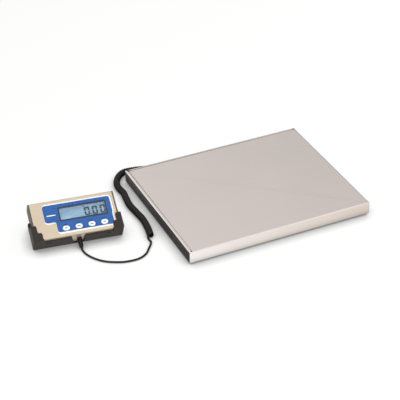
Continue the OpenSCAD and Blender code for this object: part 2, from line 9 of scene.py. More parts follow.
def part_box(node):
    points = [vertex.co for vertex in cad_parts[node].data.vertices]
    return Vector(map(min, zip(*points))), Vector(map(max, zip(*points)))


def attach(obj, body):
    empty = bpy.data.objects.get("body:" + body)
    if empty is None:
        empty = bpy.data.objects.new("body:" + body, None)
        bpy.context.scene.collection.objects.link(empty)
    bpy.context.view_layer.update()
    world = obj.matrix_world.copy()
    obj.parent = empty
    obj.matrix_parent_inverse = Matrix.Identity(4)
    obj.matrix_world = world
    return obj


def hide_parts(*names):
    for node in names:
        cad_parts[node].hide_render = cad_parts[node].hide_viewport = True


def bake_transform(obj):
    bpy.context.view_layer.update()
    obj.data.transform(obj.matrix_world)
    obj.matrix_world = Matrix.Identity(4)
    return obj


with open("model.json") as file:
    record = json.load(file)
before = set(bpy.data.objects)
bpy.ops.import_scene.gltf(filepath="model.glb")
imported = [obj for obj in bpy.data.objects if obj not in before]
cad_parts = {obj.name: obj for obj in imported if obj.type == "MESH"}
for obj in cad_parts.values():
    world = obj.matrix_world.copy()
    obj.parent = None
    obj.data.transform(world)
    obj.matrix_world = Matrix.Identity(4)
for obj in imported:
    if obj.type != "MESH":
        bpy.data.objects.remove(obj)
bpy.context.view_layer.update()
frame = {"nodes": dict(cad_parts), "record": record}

mm = 0.001
record = frame["record"]

# ---------------------------------------------------------------------------
# Camera: a long lens in front of the platform's left corner, looking down
# across it. It stands square to the floor, with no shift.
# ---------------------------------------------------------------------------
camera_data = bpy.data.cameras.new("camera")
camera_data.lens = 125.8
camera_data.sensor_width = 36.0
camera_data.clip_start = 0.1
camera_data.clip_end = 60.0
camera = bpy.data.objects.new("camera", camera_data)
camera.location = (-0.92706, -2.01248, 1.54308)
camera.rotation_euler = (math.radians(90 - 34.30), 0.0, math.radians(-25.33))
bpy.context.collection.objects.link(camera)
bpy.context.scene.camera = camera

# ---------------------------------------------------------------------------
# Cord: one black cord, straight out of the platform's back, curled along its
# left side and straight again to the indicator. Extruded over twisted pairs;
# the curled stretch is wound on a rod and set with heat.
# ---------------------------------------------------------------------------
platter_low, platter_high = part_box("platter")
floor_corner = Vector((platter_low.x, platter_low.y, 0.0))
cord_thick = 3.8 * mm
cord_z = 2.0
coil_z = 6.85
helix_radius = (13.5 - 3.8) / 2 * mm
helix_pitch = 4.4 * mm
turn_points = 14

# places from the platform's front left corner, in millimetres
lead_route = [(150, 314, 11.7), (149, 322, 8), (143, 331, 4), (130, 335, cord_z), (112, 333, cord_z),
    (94, 328, cord_z), (78, 323.5, 3.4), (60, 321, coil_z)]
curl_route = [(60, 321, coil_z), (42, 326.5, coil_z), (26, 330, coil_z), (11, 331.2, coil_z),
    (1, 327.5, coil_z), (-8, 320, coil_z), (-17, 307.5, coil_z), (-22.5, 292, coil_z),
    (-23, 275, coil_z), (-21.5, 262, coil_z), (-24, 245, coil_z), (-27, 218, coil_z),
    (-25, 190, coil_z), (-23, 162, coil_z), (-26, 132, coil_z), (-31, 108, coil_z)]
tail_route = [(-31, 108, coil_z), (-34, 98, 4.5), (-39, 89, 2.6), (-47, 79, cord_z),
    (-57.5, 66.5, cord_z), (-70, 59, cord_z), (-84, 56.5, cord_z), (-104, 59, cord_z),
    (-120, 65.5, cord_z), (-135.5, 75, cord_z), (-147, 87, cord_z), (-155, 100, cord_z),
    (-160, 112, cord_z)]


def place(point):
    return floor_corner + Vector(point) * mm


def smooth_route(points, steps):
    """A smooth curve through the places, with that many steps between neighbours."""
    line = []
    last = len(points) - 1
    for i in range(last):
        a, b = points[max(i - 1, 0)], points[i]
        c, d = points[i + 1], points[min(i + 2, last)]
        for k in range(steps):
            t = k / steps
            line.append(0.5 * (2 * b + (c - a) * t + (2 * a - 5 * b + 4 * c - d) * t ** 2
                + (3 * b - a - 3 * c + d) * t ** 3))
    line.append(points[last])
    return line


def helix(line, radius, pitch, per_turn):
    """A helix round the line, going up as it starts at one side and down as it ends at the other."""
    lengths = [0.0]
    for a, b in zip(line, line[1:]):
        lengths.append(lengths[-1] + (b - a).length)
    total = lengths[-1]
    turns = round(total / pitch) + 0.5
    count = round(turns * per_turn)
    found = []
    j = 0
    for i in range(count + 1):
        s = total * i / count
        while j < len(line) - 2 and lengths[j + 1] < s:
            j += 1
        way = (line[j + 1] - line[j]).normalized()
        middle = line[j] + way * (s - lengths[j])
        side = Vector((-way.y, way.x, 0)).normalized()
        up = way.cross(side)
        angle = 2 * math.pi * i / per_turn
        found.append(middle + radius * (math.cos(angle) * side + math.sin(angle) * up))
    return found


def bridge(before, after, leave_by, arrive_by, count):
    """A smooth bend from the end of one line into the start of the next."""
    leave = (before[-1] - before[-2]).normalized() * leave_by
    arrive = (after[1] - after[0]).normalized() * arrive_by
    bend = interpolate_bezier(before[-1], before[-1] + leave, after[0] - arrive, after[0], count)
    return bend[1:-1]


# the boot's end, from the joint that lifts the indicator up its slope
lift = next(j for j in record["behaviour"]["joints"] if j["name"] == "indicator_lift_out")
press = next(j for j in record["behaviour"]["joints"] if j["name"] == "key_1_press")
screw_mount = next(m for m in record["mounts"] if m["name"] == "bracket_screws")
slope_up = Vector(lift["axis"]).normalized()
face_out = -Vector(press["axis"]).normalized()
across = slope_up.cross(face_out)
head_origin = Vector(screw_mount["pos_m"]) - 28 * mm * slope_up
head = Matrix((across, slope_up, face_out)).transposed().to_4x4()
head.translation = head_origin
boot_u, boot_w = 1.5, 14.0
boot_end = head @ (Vector((boot_u, -17.3, boot_w)) * mm)
boot_line = head @ (Vector((boot_u, -21.5, boot_w)) * mm)

lead_line = smooth_route([place(p) for p in lead_route], 4)
curl_line = smooth_route([place(p) for p in curl_route], 10)
tail_line = smooth_route([place(p) for p in tail_route], 5)
lead_line, tail_line = lead_line[:-4], tail_line[8:-3]
curl = helix(curl_line, helix_radius, helix_pitch, turn_points)
cord_line = (lead_line + bridge(lead_line, curl, 10 * mm, 5.5 * mm, 14) + curl
    + bridge(curl, tail_line, 8 * mm, 4 * mm, 14) + tail_line
    + bridge(tail_line, [boot_line, boot_end], 10 * mm, 1.4 * mm, 10) + [boot_line, boot_end])

cord_curve = bpy.data.curves.new("cord", "CURVE")
cord_curve.dimensions = "3D"
cord_curve.bevel_depth = cord_thick / 2
cord_curve.bevel_resolution = 3
cord_curve.use_fill_caps = True
spline = cord_curve.splines.new("POLY")
spline.points.add(len(cord_line) - 1)
for point, where in zip(spline.points, cord_line):
    point.co = (*where, 1.0)
spline.use_smooth = True
cord = bpy.data.objects.new("cord", cord_curve)
bpy.context.collection.objects.link(cord)
bpy.ops.object.select_all(action="DESELECT")
cord.select_set(True)
bpy.context.view_layer.objects.active = cord
bpy.ops.object.convert(target="MESH")
cord = bpy.context.object


def new_material(name, color, rough, metal=0.0):
    """A material with one Principled shader, and its nodes and links to add to."""
    made = bpy.data.materials.new(name)
    made.use_nodes = True
    shader = made.node_tree.nodes["Principled BSDF"]
    shader.inputs["Base Color"].default_value = (*color, 1)
    shader.inputs["Roughness"].default_value = rough
    shader.inputs["Metallic"].default_value = metal
    return made, made.node_tree.nodes, made.node_tree.links, shader


def group_start(name, inputs, outputs):
    """An empty shader group with named number sockets."""
    made = bpy.data.node_groups.new(name, "ShaderNodeTree")
    made.interface.new_socket("Vector", in_out="INPUT", socket_type="NodeSocketVector")
    for title, value in inputs:
        socket = made.interface.new_socket(title, in_out="INPUT", socket_type="NodeSocketFloat")
        socket.default_value = value
    for title, kind in outputs:
        made.interface.new_socket(title, in_out="OUTPUT", socket_type=kind)
    start = made.nodes.new("NodeGroupInput")
    end = made.nodes.new("NodeGroupOutput")
    return made, made.nodes, made.links, start, end


def noise(nodes, links, vector, scale, detail=4.0, rough=0.5):
    """A noise texture on that vector."""
    made = nodes.new("ShaderNodeTexNoise")
    made.inputs["Scale"].default_value = scale
    made.inputs["Detail"].default_value = detail
    made.inputs["Roughness"].default_value = rough
    links.new(vector, made.inputs["Vector"])
    return made.outputs["Fac"]


def remap(nodes, links, value, low, high, to_low, to_high):
    """The value, with one range turned into another."""
    made = nodes.new("ShaderNodeMapRange")
    ends = (("From Min", low), ("From Max", high), ("To Min", to_low), ("To Max", to_high))
    for title, number in ends:
        made.inputs[title].default_value = number
    links.new(value, made.inputs["Value"])
    return made.outputs["Result"]


def mix_color(nodes, links, mask, low, high):
    """One colour turning into another as the mask goes from 0 to 1."""
    made = nodes.new("ShaderNodeMix")
    made.data_type = "RGBA"
    links.new(mask, made.inputs["Factor"])
    made.inputs[6].default_value = (*low, 1)
    made.inputs[7].default_value = (*high, 1)
    return made.outputs[2]


def bump(nodes, links, height, strength, distance):
    """A bump normal from a height."""
    made = nodes.new("ShaderNodeBump")
    made.inputs["Strength"].default_value = strength
    made.inputs["Distance"].default_value = distance
    links.new(height, made.inputs["Height"])
    return made.outputs["Normal"]


# moulded grain: fine pits and a broad unevenness, shared by every plastic and rubber piece
grain_group, gn, gl, g_in, g_out = group_start("moulded_grain",
    [("Pit scale", 2500.0), ("Cloud scale", 60.0)],
    [("Height", "NodeSocketFloat"), ("Cloud", "NodeSocketFloat"), ("Pits", "NodeSocketFloat")])
grain_pits = gn.new("ShaderNodeTexNoise")
grain_pits.inputs["Detail"].default_value = 3.0
grain_cloud = gn.new("ShaderNodeTexNoise")
grain_cloud.inputs["Detail"].default_value = 5.0
gl.new(g_in.outputs["Vector"], grain_pits.inputs["Vector"])
gl.new(g_in.outputs["Vector"], grain_cloud.inputs["Vector"])
gl.new(g_in.outputs["Pit scale"], grain_pits.inputs["Scale"])
gl.new(g_in.outputs["Cloud scale"], grain_cloud.inputs["Scale"])
grain_sum = gn.new("ShaderNodeMath")
grain_sum.operation = "MULTIPLY_ADD"
grain_sum.inputs[1].default_value = 0.3
gl.new(grain_cloud.outputs["Fac"], grain_sum.inputs[0])
gl.new(grain_pits.outputs["Fac"], grain_sum.inputs[2])
gl.new(grain_sum.outputs["Value"], g_out.inputs["Height"])
gl.new(grain_cloud.outputs["Fac"], g_out.inputs["Cloud"])
gl.new(grain_pits.outputs["Fac"], g_out.inputs["Pits"])


def plastic(name, color, rough, pits=2500.0, depth=0.15, fade=0.8, coat=0.0, shine=0.5, metal=0.0):
    """A moulded piece: fine grain in its surface, and patches a little paler and duller."""
    made, nodes, links, shader = new_material(name, color, rough, metal)
    shader.inputs["Specular IOR Level"].default_value = shine
    where = nodes.new("ShaderNodeTexCoord").outputs["Object"]
    grain = nodes.new("ShaderNodeGroup")
    grain.node_tree = grain_group
    grain.inputs["Pit scale"].default_value = pits
    links.new(where, grain.inputs["Vector"])
    tint = remap(nodes, links, grain.outputs["Cloud"], 0.35, 0.65, 0, 1)
    dull = [c * fade for c in color]
    links.new(mix_color(nodes, links, tint, dull, color), shader.inputs["Base Color"])
    links.new(remap(nodes, links, grain.outputs["Cloud"], 0.3, 0.7, rough - 0.05, rough + 0.07),
        shader.inputs["Roughness"])
    links.new(bump(nodes, links, grain.outputs["Height"], depth, 0.0002), shader.inputs["Normal"])
    shader.inputs["Coat Weight"].default_value = coat
    return made


cord_black = plastic("cord_black", (0.006, 0.0055, 0.005), 0.42, pits=1800, depth=0.1, shine=0.3)
cord.data.materials.append(cord_black)
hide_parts("cord_lead", "cord_coil", "cord_tail")
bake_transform(cord)

# ---------------------------------------------------------------------------
# Studio: a white floor and surround. Seen by the camera the floor mostly glows, and that glow
# carries a painted contact shadow from an occlusion node; the rest of it takes the lamps' shadow.
# One large soft lamp above the front, one low in front and a weak one from the right. The metal
# mirrors the surround and a painted reflection in the floor, and not the lamps.
# ---------------------------------------------------------------------------
world = bpy.data.worlds.new("studio")
bpy.context.scene.world = world
world.use_nodes = True
wn, wl = world.node_tree.nodes, world.node_tree.links
soft = wn["Background"]
soft.inputs["Color"].default_value = (1.0, 0.98, 0.955, 1)
soft.inputs["Strength"].default_value = 0.5
sheen = wn.new("ShaderNodeBackground")
sheen.inputs["Color"].default_value = (1.0, 0.985, 0.97, 1)
sheen_way = wn.new("ShaderNodeVectorMath")
sheen_way.operation = "DOT_PRODUCT"
sheen_way.inputs[1].default_value = (-0.8, -0.41, 1.0)
wl.new(wn.new("ShaderNodeTexCoord").outputs["Generated"], sheen_way.inputs[0])
sheen_fade = wn.new("ShaderNodeMapRange")
for title, number in (("From Min", -0.62), ("From Max", 0.33), ("To Min", 0.05), ("To Max", 1.3)):
    sheen_fade.inputs[title].default_value = number
wl.new(sheen_way.outputs["Value"], sheen_fade.inputs["Value"])
wl.new(sheen_fade.outputs["Result"], sheen.inputs["Strength"])
white = wn.new("ShaderNodeBackground")
white.inputs["Color"].default_value = (1, 1, 1, 1)
white.inputs["Strength"].default_value = 1.0
ray = wn.new("ShaderNodeLightPath")
in_gloss = wn.new("ShaderNodeMixShader")
in_view = wn.new("ShaderNodeMixShader")
wl.new(ray.outputs["Is Glossy Ray"], in_gloss.inputs[0])
wl.new(soft.outputs[0], in_gloss.inputs[1])
wl.new(sheen.outputs[0], in_gloss.inputs[2])
wl.new(ray.outputs["Is Camera Ray"], in_view.inputs[0])
wl.new(in_gloss.outputs[0], in_view.inputs[1])
wl.new(white.outputs[0], in_view.inputs[2])
wl.new(in_view.outputs[0], wn["World Output"].inputs["Surface"])

bpy.ops.mesh.primitive_plane_add(size=8.0, location=(0, 0, 0))
floor = bpy.context.object
floor.name = "floor"
floor_material, fn, fl, floor_shader = new_material("floor_white", (0.86, 0.86, 0.86), 0.9)
floor_shader.inputs["Specular IOR Level"].default_value = 0.0
floor_glow = fn.new("ShaderNodeEmission")
floor_glow.inputs["Color"].default_value = (1, 1, 1, 1)
floor_mix = fn.new("ShaderNodeMixShader")
floor_share = fn.new("ShaderNodeMath")
floor_share.operation = "MULTIPLY"
floor_share.inputs[1].default_value = 0.74
floor_ray = fn.new("ShaderNodeLightPath")
fl.new(floor_ray.outputs["Is Camera Ray"], floor_share.inputs[0])
# painted contact shadow: the floor's glow is dimmed where the occlusion node finds the object close by
painted_shadow_occlusion = fn.new("ShaderNodeAmbientOcclusion")
painted_shadow_occlusion.samples = 12
painted_shadow_occlusion.inputs["Distance"].default_value = 0.03
fl.new(remap(fn, fl, painted_shadow_occlusion.outputs["AO"], 0.35, 0.93, 0.25, 1.06), floor_glow.inputs["Strength"])
fl.new(floor_share.outputs[0], floor_mix.inputs[0])
fl.new(floor_shader.outputs[0], floor_mix.inputs[1])
fl.new(floor_glow.outputs[0], floor_mix.inputs[2])
# painted reflection: for glossy rays only, the floor glows bright before the platform and round the
# indicator, pale at the left and warmer and dimmer to the right, and dark along the platform's sides
# and back; the metal mirrors this
gloss_where = fn.new("ShaderNodeSeparateXYZ")
fl.new(fn.new("ShaderNodeTexCoord").outputs["Object"], gloss_where.inputs[0])
across_floor = remap(fn, fl, gloss_where.outputs["X"], -0.07, 0.31, 0, 1)
front_floor = remap(fn, fl, gloss_where.outputs["Y"], -0.17, -0.145, 1.41, 0.05)
left_floor = remap(fn, fl, gloss_where.outputs["X"], -0.15, -0.125, 0.8, 0.05)
bright_floor = fn.new("ShaderNodeMath")
bright_floor.operation = "MAXIMUM"
fl.new(front_floor, bright_floor.inputs[0])
fl.new(left_floor, bright_floor.inputs[1])
painted_floor_reflection = fn.new("ShaderNodeEmission")
reflection_cool, reflection_warm = (0.975, 0.99, 1.0), (0.745, 0.705, 0.65)
fl.new(mix_color(fn, fl, across_floor, reflection_cool, reflection_warm), painted_floor_reflection.inputs["Color"])
fl.new(bright_floor.outputs[0], painted_floor_reflection.inputs["Strength"])
floor_gloss = fn.new("ShaderNodeMixShader")
fl.new(floor_ray.outputs["Is Glossy Ray"], floor_gloss.inputs[0])
fl.new(floor_mix.outputs[0], floor_gloss.inputs[1])
fl.new(painted_floor_reflection.outputs[0], floor_gloss.inputs[2])
fl.new(floor_gloss.outputs[0], fn["Material Output"].inputs["Surface"])
floor.data.materials.append(floor_material)


def area_lamp(name, where, size, power, target=(0, 0, 0)):
    lamp_data = bpy.data.lights.new(name, "AREA")
    lamp_data.shape = "SQUARE"
    lamp_data.size = size
    lamp_data.energy = power
    lamp = bpy.data.objects.new(name, lamp_data)
    lamp.visible_glossy = False
    lamp.location = where
    lamp.rotation_euler = (Vector(target) - Vector(where)).to_track_quat("-Z", "Y").to_euler()
    bpy.context.collection.objects.link(lamp)
    return lamp


area_lamp("key_lamp", (0.2, -1.2, 2.4), 2.2, 44)
area_lamp("front_lamp", (-0.7, -2.3, 0.7), 1.4, 18)
area_lamp("side_lamp", (2.2, 0.6, 1.4), 1.2, 10)
bpy.context.scene.view_settings.view_transform = "Standard"

# ---------------------------------------------------------------------------
# Platter: one sheet of stainless steel, brushed along its length, folded down
# on all four sides and welded at the corners, open below.
# ---------------------------------------------------------------------------
sheet = 1.0 * mm
corner_radius = 2.0 * mm
fold_radius = 2.2 * mm
gland_low, gland_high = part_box("cord_gland")


def deselect():
    bpy.ops.object.select_all(action="DESELECT")


def box_piece(name, low, high):
    """A cube primitive stretched between two corners."""
    deselect()
    middle = (Vector(low) + Vector(high)) / 2
    bpy.ops.mesh.primitive_cube_add(size=1, location=middle)
    piece = bpy.context.object
    piece.name = piece.data.name = name
    piece.scale = Vector(high) - Vector(low)
    bpy.ops.object.transform_apply(location=True, rotation=True, scale=True)
    return piece


def choose_parts(piece, edges=None, faces=None):
    """Edit mode with only the edges or faces chosen for which the test holds."""
    bpy.context.view_layer.objects.active = piece
    bpy.ops.object.mode_set(mode="EDIT")
    bpy.ops.mesh.select_mode(type="EDGE" if edges else "FACE")
    bpy.ops.mesh.select_all(action="DESELECT")
    bpy.ops.object.mode_set(mode="OBJECT")
    points = piece.data.vertices
    if edges:
        for edge in piece.data.edges:
            edge.select = edges(points[edge.vertices[0]].co, points[edge.vertices[1]].co)
    if faces:
        for face in piece.data.polygons:
            face.select = faces(face)
    bpy.ops.object.mode_set(mode="EDIT")


def back_to_object():
    bpy.ops.object.mode_set(mode="OBJECT")


def add_modifier(piece, kind, **values):
    """Adds a modifier with those values and applies it."""
    made = piece.modifiers.new(kind.lower(), kind)
    for title, value in values.items():
        setattr(made, title, value)
    bpy.context.view_layer.objects.active = piece
    bpy.ops.object.modifier_apply(modifier=made.name)


def smooth(piece, angle=30):
    deselect()
    piece.select_set(True)
    bpy.context.view_layer.objects.active = piece
    bpy.ops.object.shade_smooth_by_angle(angle=math.radians(angle))


def flat_normals(piece):
    """Keeps the broad faces' shading flat beside their rounded edges."""
    add_modifier(piece, "WEIGHTED_NORMAL", keep_sharp=True, weight=100)


def same(a, b):
    return abs(a - b) < 1e-6


platter = box_piece("platter_sheet", platter_low, platter_high)
choose_parts(platter, edges=lambda a, b: same(a.x, b.x) and same(a.y, b.y))
bpy.ops.mesh.bevel(offset=corner_radius, segments=5)
back_to_object()
choose_parts(platter, edges=lambda a, b: same(a.z, platter_high.z) and same(b.z, platter_high.z))
bpy.ops.mesh.bevel(offset=fold_radius, segments=5)
back_to_object()
choose_parts(platter, faces=lambda face: face.normal.z < -0.9)
bpy.ops.mesh.delete(type="FACE")
back_to_object()
add_modifier(platter, "SOLIDIFY", thickness=sheet, offset=-1.0, use_even_offset=True)
notch = box_piece("notch", (gland_low.x - 2.5 * mm, platter_high.y - 3 * mm, platter_low.z - 5 * mm),
    (gland_high.x + 2.5 * mm, platter_high.y + 3 * mm, gland_high.z + 1.8 * mm))
add_modifier(platter, "BOOLEAN", operation="DIFFERENCE", object=notch)
bpy.data.objects.remove(notch)
# a narrow border inside each broad face keeps the face itself flat beside the folds
broad_area = 0.003
border = 4.0 * mm
choose_parts(platter, faces=lambda face: face.area > broad_area)
bpy.ops.mesh.dissolve_limited(angle_limit=math.radians(0.5))
back_to_object()
choose_parts(platter, faces=lambda face: face.area > broad_area)
bpy.ops.mesh.inset(thickness=border, use_individual=True)
back_to_object()
smooth(platter, 25)
flat_normals(platter)

# brushing: lines along the sheet's length, which run down the two end skirts
brush_group, bn, bl, b_in, b_out = group_start("brushing",
    [("Along", 1.5), ("Cross", 900.0)], [("Lines", "NodeSocketFloat"), ("Patches", "NodeSocketFloat")])
brush_split = bn.new("ShaderNodeSeparateXYZ")
bl.new(b_in.outputs["Vector"], brush_split.inputs[0])
brush_normal = bn.new("ShaderNodeTexCoord")
brush_side = bn.new("ShaderNodeSeparateXYZ")
bl.new(brush_normal.outputs["Normal"], brush_side.inputs[0])
brush_front = bn.new("ShaderNodeMath")
brush_front.operation = "ABSOLUTE"
bl.new(brush_side.outputs["Y"], brush_front.inputs[0])
brush_turned = bn.new("ShaderNodeMath")
brush_turned.operation = "GREATER_THAN"
brush_turned.inputs[1].default_value = 0.7
bl.new(brush_front.outputs[0], brush_turned.inputs[0])


def scaled(nodes, links, value, factor_socket):
    made = nodes.new("ShaderNodeMath")
    made.operation = "MULTIPLY"
    links.new(value, made.inputs[0])
    links.new(factor_socket, made.inputs[1])
    return made.outputs[0]


brush_flat = bn.new("ShaderNodeCombineXYZ")
bl.new(scaled(bn, bl, brush_split.outputs["X"], b_in.outputs["Along"]), brush_flat.inputs["X"])
bl.new(scaled(bn, bl, brush_split.outputs["Y"], b_in.outputs["Cross"]), brush_flat.inputs["Y"])
bl.new(scaled(bn, bl, brush_split.outputs["Z"], b_in.outputs["Along"]), brush_flat.inputs["Z"])
brush_up = bn.new("ShaderNodeCombineXYZ")
bl.new(scaled(bn, bl, brush_split.outputs["X"], b_in.outputs["Along"]), brush_up.inputs["X"])
bl.new(scaled(bn, bl, brush_split.outputs["Z"], b_in.outputs["Cross"]), brush_up.inputs["Y"])
brush_where = bn.new("ShaderNodeMix")
brush_where.data_type = "VECTOR"
bl.new(brush_turned.outputs[0], brush_where.inputs["Factor"])
bl.new(brush_flat.outputs[0], brush_where.inputs[4])
bl.new(brush_up.outputs[0], brush_where.inputs[5])
bl.new(noise(bn, bl, brush_where.outputs[1], 1.0, 6.0, 0.65), b_out.inputs["Lines"])
bl.new(noise(bn, bl, b_in.outputs["Vector"], 9.0, 3.0), b_out.inputs["Patches"])

stainless, nodes, links, shader = new_material("brushed_stainless", (0.73, 0.67, 0.645), 0.34, 1.0)
where = nodes.new("ShaderNodeTexCoord").outputs["Object"]
brushing = nodes.new("ShaderNodeGroup")
brushing.node_tree = brush_group
links.new(where, brushing.inputs["Vector"])
line_mask = remap(nodes, links, brushing.outputs["Lines"], 0.25, 0.75, 0, 1)
links.new(mix_color(nodes, links, line_mask, (0.7, 0.642, 0.617), (0.76, 0.698, 0.672)),
    shader.inputs["Base Color"])
links.new(remap(nodes, links, brushing.outputs["Patches"], 0.3, 0.7, 0.33, 0.42),
    shader.inputs["Roughness"])
links.new(bump(nodes, links, brushing.outputs["Lines"], 0.05, 0.0001), shader.inputs["Normal"])
platter.data.materials.append(stainless)
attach(platter, "platter")
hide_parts("platter")

# ---------------------------------------------------------------------------
# Works under the platter: folded and zinc plated steel, aluminium load cells,
# rubber feet and a small junction board. They keep their own shapes.
# ---------------------------------------------------------------------------


def coat_node(material, *names):
    """Gives the nodes that keep their own shape a material."""
    for name in names:
        node = frame["nodes"][name]
        node.data.materials.clear()
        node.data.materials.append(material)


def plated(name, color, rough, metal=1.0):
    """Metal with fine scratches and a cloudy plating."""
    made, nodes, links, shader = new_material(name, color, rough, metal)
    where = nodes.new("ShaderNodeTexCoord").outputs["Object"]
    cloud = noise(nodes, links, where, 120.0, 5.0)
    mask = remap(nodes, links, cloud, 0.35, 0.65, 0, 1)
    dull = [c * 0.8 for c in color]
    links.new(mix_color(nodes, links, mask, dull, color), shader.inputs["Base Color"])
    links.new(remap(nodes, links, cloud, 0.3, 0.7, rough - 0.06, rough + 0.08),
        shader.inputs["Roughness"])
    fine = noise(nodes, links, where, 1400.0, 2.0)
    links.new(bump(nodes, links, fine, 0.08, 0.0001), shader.inputs["Normal"])
    return made


zinc = plated("zinc_plate", (0.6, 0.6, 0.62), 0.38)
cell_metal = plated("cell_aluminium", (0.74, 0.75, 0.77), 0.3)
frame_paint = plastic("frame_paint", (0.045, 0.048, 0.052), 0.5, pits=900, depth=0.3)
foot_rubber = plastic("foot_rubber", (0.02, 0.02, 0.022), 0.75, pits=1200, depth=0.3)
board_green = plastic("board_green", (0.03, 0.16, 0.07), 0.35, pits=700, depth=0.05)
terminal_green = plastic("terminal_green", (0.03, 0.3, 0.16), 0.4)
white_plastic = plastic("white_plastic", (0.8, 0.8, 0.78), 0.4, fade=0.94)
black_plastic = plastic("black_plastic", (0.018, 0.018, 0.02), 0.4)
lead_grey = plastic("lead_grey", (0.45, 0.45, 0.45), 0.5)
coat_node(zinc, "platter_stiffeners", "load_studs", "stud_nuts", "foot_screws", "foot_nuts",
    "cell_spacers", "cell_screws", "stand_pins", "end_cap_screws")
coat_node(cell_metal, "load_cell_front_left", "load_cell_front_right", "load_cell_back_left",
    "load_cell_back_right")
coat_node(frame_paint, "base_frame")
coat_node(foot_rubber, "feet")
coat_node(board_green, "junction_board", "main_board")
coat_node(terminal_green, "terminal_blocks")
coat_node(white_plastic, "board_spacers", "backlight", "dome_switches")
coat_node(lead_grey, "cell_leads")
coat_node(black_plastic, "cord_gland", "gland_nut", "buzzer", "battery_snap", "power_socket")

# ---------------------------------------------------------------------------
# Bracket: one moulding in brown-black plastic, with side walls, a front bar
# with the cord's notch, two stepped lips and ears for the stand.
# ---------------------------------------------------------------------------


def rounded_copy(node, name, body, material, width, segments=2, angle=35,
        broad=None, broad_width=0.0):
    """A copy of a node whose edges are rounded, as a moulding's are; it stands for the node.

    The edges for which broad holds, in millimetres from the bracket's front edge, are rounded more."""
    deselect()
    source = frame["nodes"][node]
    piece = source.copy()
    piece.data = source.data.copy()
    piece.name = piece.data.name = name
    piece.parent = None
    bpy.context.collection.objects.link(piece)
    piece.select_set(True)
    bpy.context.view_layer.objects.active = piece
    bpy.ops.object.mode_set(mode="EDIT")
    bpy.ops.mesh.select_all(action="SELECT")
    bpy.ops.mesh.remove_doubles(threshold=1e-6)
    bpy.ops.mesh.dissolve_limited(angle_limit=math.radians(1.0))
    bpy.ops.object.mode_set(mode="OBJECT")
    if broad:
        choose_parts(piece, edges=lambda a, b: broad(to_head @ a / mm) and broad(to_head @ b / mm))
        bpy.ops.mesh.bevel(offset=broad_width, segments=5)
        back_to_object()
    add_modifier(piece, "BEVEL", width=width, segments=segments, limit_method="ANGLE",
        angle_limit=math.radians(angle), harden_normals=False)
    smooth(piece, 40)
    flat_normals(piece)
    piece.data.materials.clear()
    piece.data.materials.append(material)
    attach(piece, body)
    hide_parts(node)
    return piece


bracket_plastic = plastic("bracket_plastic", (0.036, 0.029, 0.0255), 0.5, pits=1500, depth=0.25,
    shine=0.15)
to_head = head.inverted()
bracket_half = max(abs((to_head @ v.co).x) for v in frame["nodes"]["bracket"].data.vertices) / mm
rounded_copy("bracket", "bracket_moulding", "base", bracket_plastic, 0.7 * mm, 3,
    broad=lambda p: abs(abs(p.x) - bracket_half) < 0.05 and abs(p.y) < 0.05, broad_width=3.0 * mm)

# ---------------------------------------------------------------------------
# Stand: a U-shaped arm in black plastic on two steel pins, folded out behind
# the bracket so that the indicator leans on it.
# ---------------------------------------------------------------------------
rounded_copy("stand", "stand_arm", "stand", black_plastic, 0.8 * mm, 3)

# ---------------------------------------------------------------------------
# Housing: two moulded shells in champagne, closed at both ends by brown-grey
# caps that are screwed on.
# ---------------------------------------------------------------------------
champagne = plastic("champagne", (0.56, 0.47, 0.36), 0.36, pits=3000, depth=0.06, fade=0.95, metal=0.5)
cap_plastic = plastic("cap_plastic", (0.085, 0.07, 0.058), 0.45)
cover_places = [to_head @ v.co / mm for v in frame["nodes"]["front_shell"].data.vertices]
cover_top = max(p.z for p in cover_places)
cover_low = min(p.y for p in cover_places if p.z > cover_top - 0.05)
cover_high = max(p.y for p in cover_places if p.z > cover_top - 0.05)
rounded_copy("front_shell", "front_cover", "indicator", champagne, 0.3 * mm,
    broad=lambda p: p.z > cover_top - 0.05 and (p.y < cover_low + 0.05 or p.y > cover_high - 0.05),
    broad_width=1.3 * mm)
rounded_copy("back_shell", "back_cover", "indicator", champagne, 0.3 * mm)
rounded_copy("battery_door", "battery_lid", "battery_door", champagne, 0.2 * mm)
rounded_copy("end_cap_left", "left_cap", "indicator", cap_plastic, 0.5 * mm)
rounded_copy("end_cap_right", "right_cap", "indicator", cap_plastic, 0.5 * mm)
coat_node(champagne, "board_posts")
battery_case = plastic("battery_case", (0.05, 0.05, 0.06), 0.3)
coat_node(battery_case, "battery")

# ---------------------------------------------------------------------------
# Overlay: a printed polycarbonate film, blue with a white edge line, glued on
# the front cover, with a white bar, a dark bar above each key and four signs.
# ---------------------------------------------------------------------------
face_w = 32.0
overlay_blue = plastic("overlay_blue", (0.026, 0.11, 0.35), 0.4, pits=3500, depth=0.04,
    fade=0.9, shine=0.25)
rounded_copy("overlay", "overlay_film", "indicator", overlay_blue, 0.08 * mm)


def lean(piece, body, material):
    """Turns a piece drawn flat, in millimetres from the bracket's front edge, into place."""
    deselect()
    piece.select_set(True)
    bpy.context.view_layer.objects.active = piece
    piece.matrix_world = head @ Matrix.Scale(mm, 4) @ piece.matrix_world
    bpy.ops.object.transform_apply(location=True, rotation=True, scale=True)
    piece.data.materials.clear()
    piece.data.materials.append(material)
    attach(piece, body)
    return piece


def plate(name, low, high, round_by=0.0, segments=4, soften=0.0):
    """A flat plate drawn in millimetres, its upright edges rounded and its top edge softened."""
    piece = box_piece(name, low, high)
    if round_by:
        choose_parts(piece, edges=lambda a, b: abs(a.x - b.x) < 1e-4 and abs(a.y - b.y) < 1e-4)
        bpy.ops.mesh.bevel(offset=round_by, segments=segments)
        back_to_object()
    if soften:
        choose_parts(piece, edges=lambda a, b: a.z > high[2] - 1e-4 and b.z > high[2] - 1e-4)
        bpy.ops.mesh.bevel(offset=soften, segments=3)
        back_to_object()
    smooth(piece, 35)
    return piece


